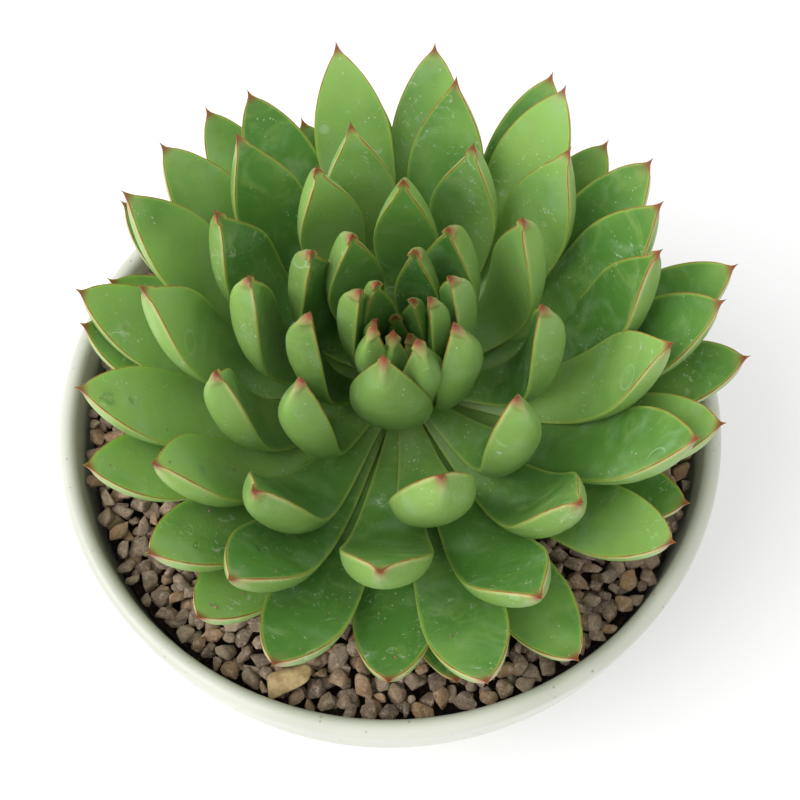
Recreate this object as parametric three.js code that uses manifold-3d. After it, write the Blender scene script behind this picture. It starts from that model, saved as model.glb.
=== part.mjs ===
// Potted rosette succulent: a fleshy-leaved rosette rooted in a round glazed bowl and top-dressed
// with gravel. Millimetres, +Z up, origin at the centre of the underside of the pot.
//
// The leaves stand on a short conical stem in a golden-angle spiral, numbered by age from the
// heart outwards. Each one is a lofted solid: a lens-shaped section carried along a bowed midrib.

import * as THREE from "three";
import { mergeVertices } from "three/addons/utils/BufferGeometryUtils.js";
import Module from "manifold-3d";

const wasm = await Module();
wasm.setup();

// ---------------------------------------------------------------- driving dimensions

const CLEARANCE = 0.3; // gap left between pieces that touch

const POT_RIM_DIAMETER = 142; // over the outside of the lip
const POT_BASE_DIAMETER = 88;
const POT_HEIGHT = 62;
const POT_WALL = 3.6;
const POT_FLOOR = 5;
const COLLAR_HEIGHT = 10; // upright band under the lip, above the curve of the bowl
const DRAIN_HOLES = 5;
const DRAIN_HOLE_DIAMETER = 7;
const DRAIN_CIRCLE_DIAMETER = 44;

const FILL_BELOW_RIM = 7; // the gravel stops this far under the lip
const GRAVEL_DEPTH = 7;
const GRAVEL_BUMP = 0.9; // how far the gravel surface rises and falls

const ROSETTE_RADIUS = 62; // stem axis to the tips of the widest leaves
const ROSETTE_HEIGHT = 53; // lowest leaf joint to the tips around the heart
const ROSETTE_LIFT = 3; // lowest leaf joint above the gravel
const ROSETTE_OFFSET_X = 2.2; // the plant isn't quite in the middle of the pot
const ROSETTE_OFFSET_Y = 0.5;
const ROSETTE_TILT = 6.5; // degrees, the back of the rosette raised
const ROSETTE_SIDE_TILT = -2; // degrees

const DIVERGENCE = 137.6; // degrees from one leaf to the next younger or older one
const FIRST_AZIMUTH = 129.4; // degrees, leaf of age 0
const OLDEST_AGE = 80;
const HEART_AGES = 17; // ages below this have grown together into the heart
const BUD_LEAVES = 5; // not yet opened, inside the heart
const LOST_AGES = [12, 20, 22, 46, 51, 70, 74, 75, 78, 79]; // leaves that have died and dropped

const STEM_RADIUS = 9; // at the lowest leaf
const STEM_TIP_RADIUS = 1;
const STEM_RISE = 16; // from the lowest leaf joint to the growing tip
const BUD_CORE = 1.1; // the growing tip is a low dome, this high
const ROOT_DEPTH = 30; // root crown below the lowest leaf joint
const ROOT_TIP_RADIUS = 2.5;
const MAIN_ROOTS = 5;
const MAIN_ROOT_LENGTH = 24;
const MAIN_ROOT_RADIUS = 1.6;

// How a leaf changes with age. reach and rise place its tip, as shares of the rosette's radius
// and height. width and thickness are its largest, in millimetres, and belly is where along its
// length it is widest. first and second are the two points that bend its midrib, each as shares
// of the way out and of the way up from its foot to its tip.
const GROWTH = [
  { age: -6, reach: 0.03, rise: 0.7, width: 4.2, thickness: 2, belly: 0.5,
    first: [1.2, -0.2], second: [1.13, 0.41] },
  { age: 0, reach: 0.078, rise: 0.95, width: 8, thickness: 3.6, belly: 0.52,
    first: [1.2, -0.2], second: [1.13, 0.41] },
  { age: 8, reach: 0.19, rise: 1, width: 12.6, thickness: 5.4, belly: 0.55,
    first: [1.3, -0.2], second: [0.99, 0.45] },
  { age: 18, reach: 0.41, rise: 1, width: 13.6, thickness: 6.2, belly: 0.6,
    first: [1.4, -0.2], second: [0.84, 0.5] },
  { age: 30, reach: 0.7, rise: 0.92, width: 16, thickness: 6.2, belly: 0.69,
    first: [1, -0.15], second: [0.74, 0.6] },
  { age: 45, reach: 0.94, rise: 0.84, width: 16.6, thickness: 5.8, belly: 0.72,
    first: [0.7, -0.1], second: [0.72, 0.6] },
  { age: 62, reach: 1, rise: 0.66, width: 16.2, thickness: 5.4, belly: 0.73,
    first: [0.56, 0.05], second: [0.74, 0.5] },
  { age: 85, reach: 1, rise: 0.24, width: 15, thickness: 4.8, belly: 0.73,
    first: [0.47, 0.22], second: [0.78, 0.4] },
];
const BROAD = { 7: 1.35, 25: 1.1, 33: 1.08 }; // leaves wider than their neighbours

// Leaves that have grown a little off the spiral: turned round the stem by degrees, and with the
// tip further out or higher by millimetres
const HABIT = {
  1: { turn: 18, out: 0, up: 0 },
  2: { turn: 20, out: -1, up: 0 },
  3: { turn: -6, out: 2, up: 1 },
  5: { turn: 0, out: -3, up: -1 },
  7: { turn: 16, out: 0, up: 0 },
  8: { turn: 15, out: 2, up: 0 },
  9: { turn: 3, out: -2, up: 0 },
  13: { turn: 7, out: -1, up: -2 },
  14: { turn: -6, out: 5, up: 0 },
  17: { turn: 9, out: 3, up: 0 },
  25: { turn: -4, out: -4, up: 0 },
  27: { turn: -2, out: 8, up: 2 },
  29: { turn: 5, out: -2, up: -2 },
  30: { turn: -8, out: 3, up: -3 },
  31: { turn: -6, out: 0, up: 3 },
  38: { turn: -4, out: 4, up: -1 },
  39: { turn: -6, out: 2, up: 4 },
  41: { turn: -6, out: 0, up: 0 },
  42: { turn: -7, out: 2, up: 3 },
  43: { turn: 4, out: 0, up: 1 },
  50: { turn: -5, out: 2, up: 0 },
  54: { turn: -6, out: 3, up: 0 },
  58: { turn: -6, out: 4, up: 0 },
  59: { turn: -6, out: 3, up: 0 },
  61: { turn: -2, out: 4, up: 0 },
  65: { turn: -7, out: -2, up: 3 },
  68: { turn: -4, out: 4, up: 4 },
  69: { turn: 4, out: 4, up: 3 },
  72: { turn: -2, out: 4, up: 0 },
};
const REGULAR = { turn: 0, out: 0, up: 0 };
const STRAIGHT = { first: 0.4, second: 0.75 }; // rise of the bends in a leaf that has settled

// Outline of a leaf seen from above, and from the side
const NECK_WIDTH = 0.2; // at the stem, share of the largest width
const NECK_THICKNESS = 0.2;
const ARCH = { young: 0.8, old: 0.62 }; // how pointed the end is: lower is rounder
const END_CURL = 2; // how far the end of an old leaf turns up
const CURL_FROM = 0.8; // share of the length where it begins to
const HALF_GROWN = 20; // ages between which a leaf gets its full end
const GROWN_UP = 44;

// Fineness of the meshes
const ROUND_STEPS = 40;
const LEAF_STATIONS = [0, 0.14, 0.3, 0.46, 0.62, 0.76, 0.88, 0.96];
const HEART_STATIONS = [0, 0.2, 0.42, 0.64, 0.86];
const CURVE_STEPS = 10; // up the bowl
const LIP_STEPS = 5; // over the lip
const FLATTEN_STEP = 0.1; // in which a leaf gives up its bow to clear what lies under it
const LIFT_STEP = 0.5; // in which it is then raised
const SLIVER = 0.02; // edges left by a cut are merged below this length
const SAME_POINT = 1e-3; // points this close are one

// ---------------------------------------------------------------- small tools

const radians = THREE.MathUtils.degToRad;
const mix = THREE.MathUtils.lerp;

// Value of one column of GROWTH at any age, on straight lines between its rows. A pair is read
// one part at a time.
function grown(column, age, part = 0) {
  const last = GROWTH.length - 1;
  let i = 0;
  while (i < last - 1 && age > GROWTH[i + 1].age) i += 1;
  const from = GROWTH[i];
  const to = GROWTH[i + 1];
  const share = THREE.MathUtils.clamp((age - from.age) / (to.age - from.age), 0, 1);
  return mix([from[column]].flat()[part], [to[column]].flat()[part], share);
}

// Closed three.js geometry to a solid, and back
function solidOf(geometry, tolerance = 1e-4) {
  const bare = geometry.clone();
  bare.deleteAttribute("normal");
  bare.deleteAttribute("uv");
  const merged = mergeVertices(bare, tolerance);
  return new wasm.Manifold(
    new wasm.Mesh({
      numProp: 3,
      vertProperties: new Float32Array(merged.attributes.position.array),
      triVerts: new Uint32Array(merged.index.array),
    }),
  );
}

function geometryOf(solid) {
  const mesh = solid.simplify(SLIVER).getMesh();
  const geometry = new THREE.BufferGeometry();
  geometry.setAttribute("position", new THREE.BufferAttribute(mesh.vertProperties, 3));
  geometry.setIndex(new THREE.BufferAttribute(mesh.triVerts, 1));
  geometry.computeVertexNormals();
  return geometry;
}

function largestBody(solid) {
  return solid.decompose().reduce((best, body) => (body.volume() > best.volume() ? body : best));
}

// A solid with its thinnest slits closed, and filled where that shuts a hollow in
function withoutSlits(solid) {
  return largestBody(solidOf(geometryOf(solid), SAME_POINT));
}

function boxesMeet(a, b) {
  const p = a.boundingBox();
  const q = b.boundingBox();
  return [0, 1, 2].every((i) => p.min[i] < q.max[i] && q.min[i] < p.max[i]);
}

// A solid cut back from every tool that reaches it
function cutBackFrom(solid, tools) {
  let left = solid;
  for (const tool of tools) {
    if (boxesMeet(left, tool) && left.intersect(tool).volume() > 0) {
      left = left.subtract(tool);
    }
  }
  return largestBody(left);
}

// A surface through rings of points, closed with a fan at each end. The rings run anticlockwise
// as seen from the last pole.
function loft(rings, firstPole, lastPole) {
  const points = [firstPole, ...rings.flat(), lastPole];
  const side = rings[0].length;
  const at = (ring, i) => 1 + ring * side + (i % side);
  const faces = [];
  for (let i = 0; i < side; i += 1) {
    faces.push(0, at(0, i + 1), at(0, i));
    faces.push(points.length - 1, at(rings.length - 1, i), at(rings.length - 1, i + 1));
    for (let r = 0; r + 1 < rings.length; r += 1) {
      faces.push(at(r, i), at(r, i + 1), at(r + 1, i + 1));
      faces.push(at(r, i), at(r + 1, i + 1), at(r + 1, i));
    }
  }
  const geometry = new THREE.BufferGeometry().setFromPoints(points);
  geometry.setIndex(faces);
  return geometry;
}

function turned(profile, steps = ROUND_STEPS) {
  const points = profile.map(([r, z]) => new THREE.Vector2(r, z));
  return new THREE.LatheGeometry(points, steps).rotateX(Math.PI / 2);
}

function named(name, geometry, material) {
  const mesh = new THREE.Mesh(geometry, material);
  mesh.name = name;
  return mesh;
}

// ---------------------------------------------------------------- finishes

const glaze = new THREE.MeshStandardMaterial({ color: 0xd6d9cb, roughness: 0.35 });
const soil = new THREE.MeshStandardMaterial({ color: 0x3b2c22, roughness: 1 });
const grit = new THREE.MeshStandardMaterial({ color: 0x8d766a, roughness: 0.95 });
const bark = new THREE.MeshStandardMaterial({ color: 0x8a7a55, roughness: 0.9 });
const leafSkin = new THREE.MeshStandardMaterial({ color: 0x4f9440, roughness: 0.45 });
const heartSkin = new THREE.MeshStandardMaterial({ color: 0x4c8a45, roughness: 0.45 });

// ---------------------------------------------------------------- pot

const rimRadius = POT_RIM_DIAMETER / 2;
const lipRadius = POT_WALL / 2;
const collarFoot = POT_HEIGHT - COLLAR_HEIGHT;

// Outside radius of the bowl at a height, up to the foot of the collar
function bowlRadius(z) {
  const share = THREE.MathUtils.clamp(z / collarFoot, 0, 1);
  return mix(POT_BASE_DIAMETER / 2, rimRadius, Math.sin((share * Math.PI) / 2) ** 0.85);
}

// The same wall's inside radius, square to its slope
function hollowRadius(z) {
  const slope = bowlRadius(z + 1) - bowlRadius(z);
  return bowlRadius(z) - POT_WALL * Math.hypot(1, slope);
}

function potProfile() {
  const outside = [];
  const inside = [];
  for (let i = 0; i <= CURVE_STEPS; i += 1) {
    const share = (i / CURVE_STEPS) ** 1.6;
    outside.push([bowlRadius(share * collarFoot), share * collarFoot]);
    const z = mix(POT_FLOOR, collarFoot, share);
    inside.unshift([hollowRadius(z), z]);
  }
  const lip = [];
  for (let i = 0; i <= LIP_STEPS; i += 1) {
    const angle = (i / LIP_STEPS) * Math.PI;
    lip.push([
      rimRadius - lipRadius + lipRadius * Math.cos(angle),
      POT_HEIGHT - lipRadius + lipRadius * Math.sin(angle),
    ]);
  }
  return [[0, 0], ...outside, ...lip, ...inside, [0, POT_FLOOR]];
}

function makePot() {
  let pot = solidOf(turned(potProfile()));
  for (let i = 0; i < DRAIN_HOLES; i += 1) {
    const angle = (i / DRAIN_HOLES) * 2 * Math.PI;
    const drill = new THREE.CylinderGeometry(
      DRAIN_HOLE_DIAMETER / 2,
      DRAIN_HOLE_DIAMETER / 2,
      POT_FLOOR * 3,
      12,
    )
      .rotateX(Math.PI / 2)
      .translate(
        (DRAIN_CIRCLE_DIAMETER / 2) * Math.cos(angle),
        (DRAIN_CIRCLE_DIAMETER / 2) * Math.sin(angle),
        POT_FLOOR / 2,
      );
    pot = pot.subtract(solidOf(drill));
  }
  return pot;
}

// ---------------------------------------------------------------- fill: potting mix and gravel

const gravelTop = POT_HEIGHT - FILL_BELOW_RIM;
const mixTop = gravelTop - GRAVEL_DEPTH;
const FILL_GAP = CLEARANCE * 1.5; // faceted walls stand a little inside the true curve

function makePottingMix() {
  const floor = POT_FLOOR + CLEARANCE;
  const wall = [];
  for (let i = 0; i <= CURVE_STEPS; i += 1) {
    const z = mix(floor, mixTop, (i / CURVE_STEPS) ** 1.6);
    wall.push([hollowRadius(z) - FILL_GAP, z]);
  }
  return solidOf(turned([[0, floor], ...wall, [0, mixTop]]));
}

// A disc whose upper face rises and falls in small waves, as loose grains do
function makeGravel() {
  const bottom = mixTop + CLEARANCE;
  const rings = [];
  const ring = (radius, height) =>
    Array.from({ length: ROUND_STEPS }, (_, i) => {
      const angle = (i / ROUND_STEPS) * 2 * Math.PI;
      const bump = Math.sin(i * 2.3 + radius) * Math.cos(i * 0.9 - radius * 1.7);
      const z = height + (height > bottom ? bump * GRAVEL_BUMP : 0);
      return new THREE.Vector3(radius * Math.cos(angle), radius * Math.sin(angle), z);
    });
  const outerFoot = hollowRadius(bottom) - FILL_GAP;
  const outerTop = hollowRadius(gravelTop) - FILL_GAP;
  rings.push(ring(outerFoot, bottom));
  const bands = 5;
  for (let band = 0; band < bands; band += 1) {
    rings.push(ring(mix(outerTop, STEM_RADIUS, band / bands), gravelTop - GRAVEL_BUMP));
  }
  const low = new THREE.Vector3(0, 0, bottom);
  const high = new THREE.Vector3(0, 0, gravelTop);
  return solidOf(loft(rings, low, high));
}

// ---------------------------------------------------------------- rosette

// Everything below is in the rosette's own frame: origin at the lowest leaf joint on the stem
// axis, +Z up the stem. rosetteToPot places it in the pot, leaning.
const rosetteToPot = new THREE.Matrix4()
  .makeRotationFromEuler(
    new THREE.Euler(radians(ROSETTE_TILT), radians(ROSETTE_SIDE_TILT), 0, "XYZ"),
  )
  .setPosition(ROSETTE_OFFSET_X, ROSETTE_OFFSET_Y, gravelTop + ROSETTE_LIFT);

const ageShare = (age) => THREE.MathUtils.clamp(age / OLDEST_AGE, 0, 1);
const stemRadiusAt = (age) => mix(STEM_TIP_RADIUS, STEM_RADIUS, ageShare(age) ** 0.55);
const stemHeightAt = (age) => STEM_RISE * (1 - ageShare(age));

// A point of the rosette from its place in the upright plane at an azimuth, and its offset sideways
function inRosette(azimuth, flat, aside) {
  return new THREE.Vector3(
    flat.x * Math.cos(azimuth) - aside * Math.sin(azimuth),
    flat.x * Math.sin(azimuth) + aside * Math.cos(azimuth),
    flat.y,
  );
}

// Where a leaf of an age starts and ends, how big it is, and which way it points. A leaf that has
// settled on what lies under it is flattened, from 0 to 1, and lifted by millimetres at the tip.
function leafOf(age, flattened = 0, lift = 0) {
  const habit = HABIT[age] ?? REGULAR;
  const fullness = THREE.MathUtils.smoothstep(age, HALF_GROWN, GROWN_UP);
  const start = new THREE.Vector2(stemRadiusAt(age) * 0.6, stemHeightAt(age));
  const tip = new THREE.Vector2(
    grown("reach", age) * ROSETTE_RADIUS + habit.out,
    grown("rise", age) * ROSETTE_HEIGHT + habit.up + lift,
  );
  const chord = tip.clone().sub(start);
  const bendAt = (column) => {
    const out = grown(column, age, 0);
    const up = mix(grown(column, age, 1), STRAIGHT[column], flattened);
    return new THREE.Vector2(start.x + chord.x * out, start.y + chord.y * up);
  };
  return {
    azimuth: radians(FIRST_AZIMUTH - age * DIVERGENCE + habit.turn),
    midrib: new THREE.CubicBezierCurve(start, bendAt("first"), bendAt("second"), tip),
    width: grown("width", age) * (BROAD[age] ?? 1),
    thickness: grown("thickness", age),
    belly: grown("belly", age),
    arch: mix(ARCH.young, ARCH.old, fullness),
    curl: END_CURL * fullness,
  };
}

// Share of the largest width at a share of the length: a neck, a belly, then an arch
function widthShare(u, { belly, arch }) {
  if (u < belly) return mix(NECK_WIDTH, 1, Math.sin((u / belly) * (Math.PI / 2)) ** 1.5);
  return Math.cos(((u - belly) / (1 - belly)) * (Math.PI / 2)) ** arch;
}

function thicknessShare(u) {
  const fullest = 0.66;
  if (u < fullest) {
    return mix(NECK_THICKNESS, 1, Math.sin((u / fullest) * (Math.PI / 2)));
  }
  const v = (u - fullest) / (1 - fullest);
  return (1 - v ** 3.2) ** 0.65;
}

// Points of the section at u, over the upper face from edge to edge and back under the keel.
// x is across the leaf, y is up from the line between its edges.
function sectionPoints(leaf, u, grow) {
  const half = (leaf.width / 2) * widthShare(u, leaf) + grow * 1.6;
  const deep = leaf.thickness * thicknessShare(u);
  const crown = deep * mix(0.42, -0.06, Math.min(1, u / 0.7));
  const keel = deep - crown;
  const across = [1, 0.55, 0, -0.55, -1];
  const upper = across.map((s) => [s * half, crown * (1 - s * s) + (Math.abs(s) < 1 ? grow : 0)]);
  const lower = [-0.55, 0, 0.55].map((s) => [s * half, -keel * (1 - Math.abs(s) ** 1.7) - grow]);
  return [...upper, ...lower];
}

// The line between the edges of a leaf at u: on the midrib, and turned up towards the end
function placeOn(leaf, u) {
  const along = leaf.midrib.getTangentAt(u);
  const faceUp = new THREE.Vector2(-along.y, along.x);
  const share = Math.max(0, (u - CURL_FROM) / (1 - CURL_FROM));
  const centre = leaf.midrib.getPointAt(u).addScaledVector(faceUp, leaf.curl * share ** 2);
  return { centre, along, faceUp };
}

// The ring of points of a leaf at u, in the rosette's frame
function leafRing(leaf, u, grow) {
  const { centre, faceUp } = placeOn(leaf, u);
  return sectionPoints(leaf, u, grow).map(([x, y]) =>
    inRosette(leaf.azimuth, centre.clone().addScaledVector(faceUp, y), x),
  );
}

// A leaf as a solid in the rosette's frame, grown by a skin of the given depth
function leafSolid(leaf, grow = 0, stations = LEAF_STATIONS) {
  const rings = stations.map((u) => leafRing(leaf, u, grow));
  const end = (u, reach) => {
    const { centre, along } = placeOn(leaf, u);
    return inRosette(leaf.azimuth, centre.addScaledVector(along, reach), 0);
  };
  const root = end(0, -grow);
  const tip = end(1, grow * 2);
  return solidOf(loft(rings, root, tip));
}

// How far the lowest point of a leaf stands above what lies under it: gravel, or the lip
function roomUnder(leaf) {
  const points = LEAF_STATIONS.flatMap((u) => leafRing(leaf, u, 0));
  return Math.min(
    ...points.map((point) => {
      const { x, y, z } = point.applyMatrix4(rosetteToPot);
      const overGravel = Math.hypot(x, y) < rimRadius - POT_WALL - 2 * GRAVEL_BUMP;
      return z - (overGravel ? gravelTop + GRAVEL_BUMP : POT_HEIGHT);
    }),
  );
}

// A leaf that would dip into the gravel or the lip lies on it instead: it gives up its bow, and
// then its tip is raised
function settledLeaf(age) {
  for (let flattened = 0; flattened < 1; flattened += FLATTEN_STEP) {
    const leaf = leafOf(age, flattened);
    if (roomUnder(leaf) >= CLEARANCE) return leaf;
  }
  let lift = 0;
  let leaf = leafOf(age, 1);
  while (roomUnder(leaf) < CLEARANCE && lift < ROSETTE_HEIGHT) {
    lift += LIFT_STEP;
    leaf = leafOf(age, 1, lift);
  }
  return leaf;
}

// The stem: a cone that carries the leaves, a root crown below it and a few thick roots
function stemSolid(grow = 0) {
  const profile = [[0, -ROOT_DEPTH - grow]];
  profile.push([ROOT_TIP_RADIUS + grow, -ROOT_DEPTH - grow]);
  profile.push([STEM_RADIUS * 0.75 + grow, -ROOT_DEPTH * 0.4]);
  profile.push([STEM_RADIUS + grow, -1]);
  const steps = 7;
  const top = HEART_AGES;
  for (let i = 0; i <= steps; i += 1) {
    const age = mix(OLDEST_AGE, top, i / steps);
    profile.push([stemRadiusAt(age) + grow, stemHeightAt(age)]);
  }
  profile.push([0, stemHeightAt(top) + grow]);
  let stem = solidOf(turned(profile, 20));
  for (let i = 0; i < MAIN_ROOTS; i += 1) {
    stem = stem.add(rootSolid((i / MAIN_ROOTS) * 2 * Math.PI + 0.4, grow));
  }
  return stem;
}

function rootSolid(azimuth, grow) {
  const start = new THREE.Vector2(0, -ROOT_DEPTH * 0.45);
  const bend = new THREE.Vector2(MAIN_ROOT_LENGTH * 0.6, -ROOT_DEPTH * 0.5);
  const end = new THREE.Vector2(MAIN_ROOT_LENGTH, -ROOT_DEPTH);
  const path = new THREE.QuadraticBezierCurve(start, bend, end);
  const rings = [0, 0.35, 0.7, 0.97].map((u) => {
    const centre = path.getPoint(u);
    const along = path.getTangent(u);
    const radius = MAIN_ROOT_RADIUS * (1 - 0.7 * u) + grow;
    return Array.from({ length: 6 }, (_, i) => {
      const angle = (i / 6) * 2 * Math.PI;
      const lift = new THREE.Vector2(-along.y, along.x).multiplyScalar(radius * Math.sin(angle));
      return inRosette(azimuth, centre.clone().add(lift), radius * Math.cos(angle));
    });
  });
  const tip = end.clone().addScaledVector(path.getTangent(1), grow);
  return solidOf(loft(rings, inRosette(azimuth, start, 0), inRosette(azimuth, tip, 0)));
}

// The heart: the youngest leaves and the unopened bud, joined to the growing tip
function heartSolid(grow = 0) {
  const foot = stemHeightAt(HEART_AGES) + CLEARANCE;
  const tipProfile = [
    [0, foot - grow],
    [stemRadiusAt(HEART_AGES) + grow, foot - grow],
    [stemRadiusAt(HEART_AGES / 2) + grow, stemHeightAt(HEART_AGES / 2)],
    [STEM_TIP_RADIUS + grow, STEM_RISE],
    [0, STEM_RISE + BUD_CORE + grow],
  ];
  let heart = solidOf(turned(tipProfile, 16));
  for (let age = -BUD_LEAVES; age < HEART_AGES; age += 1) {
    if (LOST_AGES.includes(age)) continue;
    heart = heart.add(leafSolid(leafOf(age), grow, HEART_STATIONS));
  }
  return heart;
}

// ---------------------------------------------------------------- assembly

const plant = new THREE.Group();
plant.applyMatrix4(rosetteToPot);

const stemWithGap = stemSolid(CLEARANCE);
plant.add(named("stem_and_roots", geometryOf(stemSolid()), bark));
const heart = withoutSlits(cutBackFrom(heartSolid(), [stemWithGap]));
plant.add(named("heart", geometryOf(heart), heartSkin));

const younger = [heartSolid(CLEARANCE)];
let number = 0;
for (let age = HEART_AGES; age <= OLDEST_AGE; age += 1) {
  if (LOST_AGES.includes(age)) continue;
  number += 1;
  const leaf = settledLeaf(age);
  const solid = cutBackFrom(leafSolid(leaf), [stemWithGap, ...younger]);
  plant.add(named(`leaf_${String(number).padStart(2, "0")}`, geometryOf(solid), leafSkin));
  younger.push(leafSolid(leaf, CLEARANCE));
}

const stemInPot = stemWithGap.transform(rosetteToPot.elements);
const pottedPlant = new THREE.Group();
pottedPlant.add(named("pot", geometryOf(makePot()), glaze));
pottedPlant.add(
  named("potting_mix", geometryOf(largestBody(makePottingMix().subtract(stemInPot))), soil),
);
pottedPlant.add(
  named("gravel", geometryOf(largestBody(makeGravel().subtract(stemInPot))), grit),
);
pottedPlant.add(plant);

export default pottedPlant;
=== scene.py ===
# %% [markdown]
# # A potted rosette succulent
# A fleshy-leaved rosette grows in a round glazed bowl that is top-dressed with crushed gravel. The
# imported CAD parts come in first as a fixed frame. Each visible piece is then modelled again more
# finely in the same place: the bowl, every grain of gravel and every leaf.

# %% Load the frame
import math
import random

import bmesh
import bpy
import numpy as np
from mathutils import Euler, Matrix, Vector


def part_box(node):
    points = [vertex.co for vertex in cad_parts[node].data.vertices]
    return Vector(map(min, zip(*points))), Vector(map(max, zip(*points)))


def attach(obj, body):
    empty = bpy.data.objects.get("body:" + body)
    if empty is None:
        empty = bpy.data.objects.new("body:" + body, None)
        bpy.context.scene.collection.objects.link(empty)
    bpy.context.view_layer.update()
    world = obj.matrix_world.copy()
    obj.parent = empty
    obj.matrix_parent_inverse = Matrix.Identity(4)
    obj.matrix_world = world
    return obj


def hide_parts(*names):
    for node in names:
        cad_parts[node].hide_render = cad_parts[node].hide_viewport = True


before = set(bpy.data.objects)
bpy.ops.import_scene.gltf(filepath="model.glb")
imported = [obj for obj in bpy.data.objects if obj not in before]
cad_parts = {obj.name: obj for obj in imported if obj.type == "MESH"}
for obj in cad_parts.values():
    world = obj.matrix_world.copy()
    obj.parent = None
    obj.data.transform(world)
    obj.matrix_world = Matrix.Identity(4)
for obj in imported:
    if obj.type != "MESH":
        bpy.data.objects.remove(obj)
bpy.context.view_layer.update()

MM = 0.001  # all shapes below are worked out in millimetres and made in metres

# %% [markdown]
# Every piece is made the same way: a list of points and faces becomes a mesh, the mesh gets its
# finish, and the piece rides on the plant's one body. Shape values that the finishes need, such as
# how far a point is from a leaf's margin, are stored on the mesh as named attributes.


# %% Make a piece
def make_piece(name, points_mm, faces, finish, nodes=(), values=None):
    mesh = bpy.data.meshes.new(name)
    mesh.from_pydata([tuple(MM * c for c in p) for p in points_mm], [], faces)
    mesh.update()
    for key, numbers in (values or {}).items():
        mesh.attributes.new(key, "FLOAT", "POINT").data.foreach_set("value", numbers)
    mesh.polygons.foreach_set("use_smooth", [True] * len(mesh.polygons))
    piece = bpy.data.objects.new(name, mesh)
    bpy.context.scene.collection.objects.link(piece)
    piece.data.materials.append(finish)
    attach(piece, "root")
    if nodes:
        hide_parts(*nodes)
    return piece


def mix(a, b, share):
    return a + (b - a) * share


def ease(low, high, value):
    """From 0 at low to 1 at high, along a smooth step. low may be the larger number."""
    t = min(1.0, max(0.0, (value - low) / (high - low)))
    return t * t * (3 - 2 * t)


# %% [markdown]
# A finish is a small network of shader nodes. The helper below keeps each network short: it adds a
# node, joins its inputs, and gives back the output. Numbers that hold for the whole surface are set
# on the shader itself.


# %% Build finishes from nodes
class Finish:
    def __init__(self, name):
        self.material = bpy.data.materials.new(name)
        self.material.use_nodes = True
        self.tree = self.material.node_tree
        self.shader = self.tree.nodes["Principled BSDF"]
        self.place = self.add("ShaderNodeTexCoord").outputs["Object"]

    def add(self, kind, **settings):
        node = self.tree.nodes.new(kind)
        for key, value in settings.items():
            setattr(node, key, value)
        return node

    def join(self, value, socket):
        if isinstance(value, bpy.types.NodeSocket):
            self.tree.links.new(value, socket)
        else:
            socket.default_value = value

    def value(self, name):
        return self.add("ShaderNodeAttribute", attribute_name=name).outputs["Fac"]

    def math(self, operation, a, b=0.0):
        node = self.add("ShaderNodeMath", operation=operation)
        self.join(a, node.inputs[0])
        self.join(b, node.inputs[1])
        return node.outputs[0]

    def noise(self, per_metre, detail=2.0, roughness=0.5, warp=0.0):
        node = self.add("ShaderNodeTexNoise")
        self.join(self.place, node.inputs["Vector"])
        node.inputs["Scale"].default_value = per_metre
        node.inputs["Detail"].default_value = detail
        node.inputs["Roughness"].default_value = roughness
        node.inputs["Distortion"].default_value = warp
        return node.outputs["Fac"]

    def cells(self, per_metre):
        node = self.add("ShaderNodeTexVoronoi", feature="F1")
        self.join(self.place, node.inputs["Vector"])
        node.inputs["Scale"].default_value = per_metre
        return node.outputs["Distance"]

    def step(self, value, low, high, to_low=0.0, to_high=1.0):
        node = self.add("ShaderNodeMapRange", interpolation_type="SMOOTHSTEP")
        self.join(value, node.inputs["Value"])
        for key, number in zip(
            ("From Min", "From Max", "To Min", "To Max"), (low, high, to_low, to_high)
        ):
            node.inputs[key].default_value = number
        return node.outputs["Result"]

    def blend(self, share, a, b):
        node = self.add("ShaderNodeMix", data_type="RGBA")
        self.join(share, node.inputs["Factor"])
        self.join(a, node.inputs[6])
        self.join(b, node.inputs[7])
        return node.outputs[2]

    def bump(self, height, depth_mm, under=None):
        node = self.add("ShaderNodeBump")
        node.inputs["Strength"].default_value = 1.0
        node.inputs["Distance"].default_value = depth_mm * MM
        self.join(height, node.inputs["Height"])
        if under is not None:
            self.join(under, node.inputs["Normal"])
        return node.outputs["Normal"]

    def done(self, colour, roughness, normal=None, **fixed):
        self.join(colour, self.shader.inputs["Base Color"])
        self.join(roughness, self.shader.inputs["Roughness"])
        if normal is not None:
            self.join(normal, self.shader.inputs["Normal"])
        for key, value in fixed.items():
            self.shader.inputs[key.replace("_", " ")].default_value = value
        return self.material


def srgb(red, green, blue):
    """A colour as it is seen, from 0 to 255, as the linear light that shaders work in."""
    linear = [
        c / 255 / 12.92 if c / 255 <= 0.04045 else ((c / 255 + 0.055) / 1.055) ** 2.4
        for c in (red, green, blue)
    ]
    return (*linear, 1.0)


# %% [markdown]
# ## Glaze
# The bowl is stoneware under a satin sage-cream glaze. A real glaze is never one flat colour: it
# pools and thins a little, iron in the clay shows through as fine specks, and the surface keeps a
# faint orange-peel ripple. Three noises of different sizes give those three things.


# %% Glaze and bare clay
def make_glaze():
    glaze = Finish("sage_cream_glaze")
    pooling = glaze.step(glaze.noise(22, 3), 0.35, 0.65)
    colour = glaze.blend(pooling, srgb(186, 188, 174), srgb(200, 201, 188))
    specks = glaze.step(glaze.cells(520), 0.12, 0.2, 1.0, 0.0)
    where = glaze.step(glaze.noise(260, 2), 0.5, 0.62)
    colour = glaze.blend(glaze.math("MULTIPLY", specks, where), colour, srgb(158, 150, 128))
    ripple = glaze.bump(glaze.noise(180, 2), 0.05)
    roughness = glaze.step(glaze.noise(90, 3), 0.3, 0.7, 0.3, 0.42)
    return glaze.done(colour, roughness, ripple, Coat_Weight=0.25, Coat_Roughness=0.25)


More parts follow.
